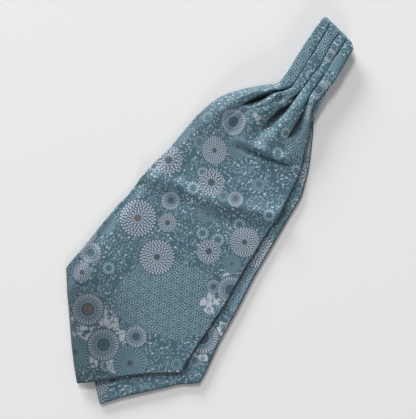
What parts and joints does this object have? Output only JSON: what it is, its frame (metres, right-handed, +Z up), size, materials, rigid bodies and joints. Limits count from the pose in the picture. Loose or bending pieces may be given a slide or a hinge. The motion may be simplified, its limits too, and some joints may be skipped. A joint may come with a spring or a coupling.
{
  "type": "silk cravat",
  "caption": "Silk day cravat laid flat, folded at its pleated neckband, with one pointed blade on top of the other and soft gathers below the band.",
  "frame": {"origin": "middle of the footprint, on the surface the cravat lies on", "axes": "+Y along the cravat from the blade points to the top fold of the neckband, +X across it to the side where the lower blade shows, +Z up from the surface"},
  "size_m": [0.1748, 0.4458, 0.016],
  "materials": {
    "printed_silk": "satin",
    "pleated_silk": "satin"
  },
  "bodies": {
    "root": {"front_blade_face": "printed_silk", "front_blade_lining": "printed_silk", "front_neckband": "pleated_silk", "neckband_fold": "pleated_silk", "back_neckband": "pleated_silk", "back_blade_lining": "printed_silk", "back_blade_face": "printed_silk"}
  },
  "joints": []
}
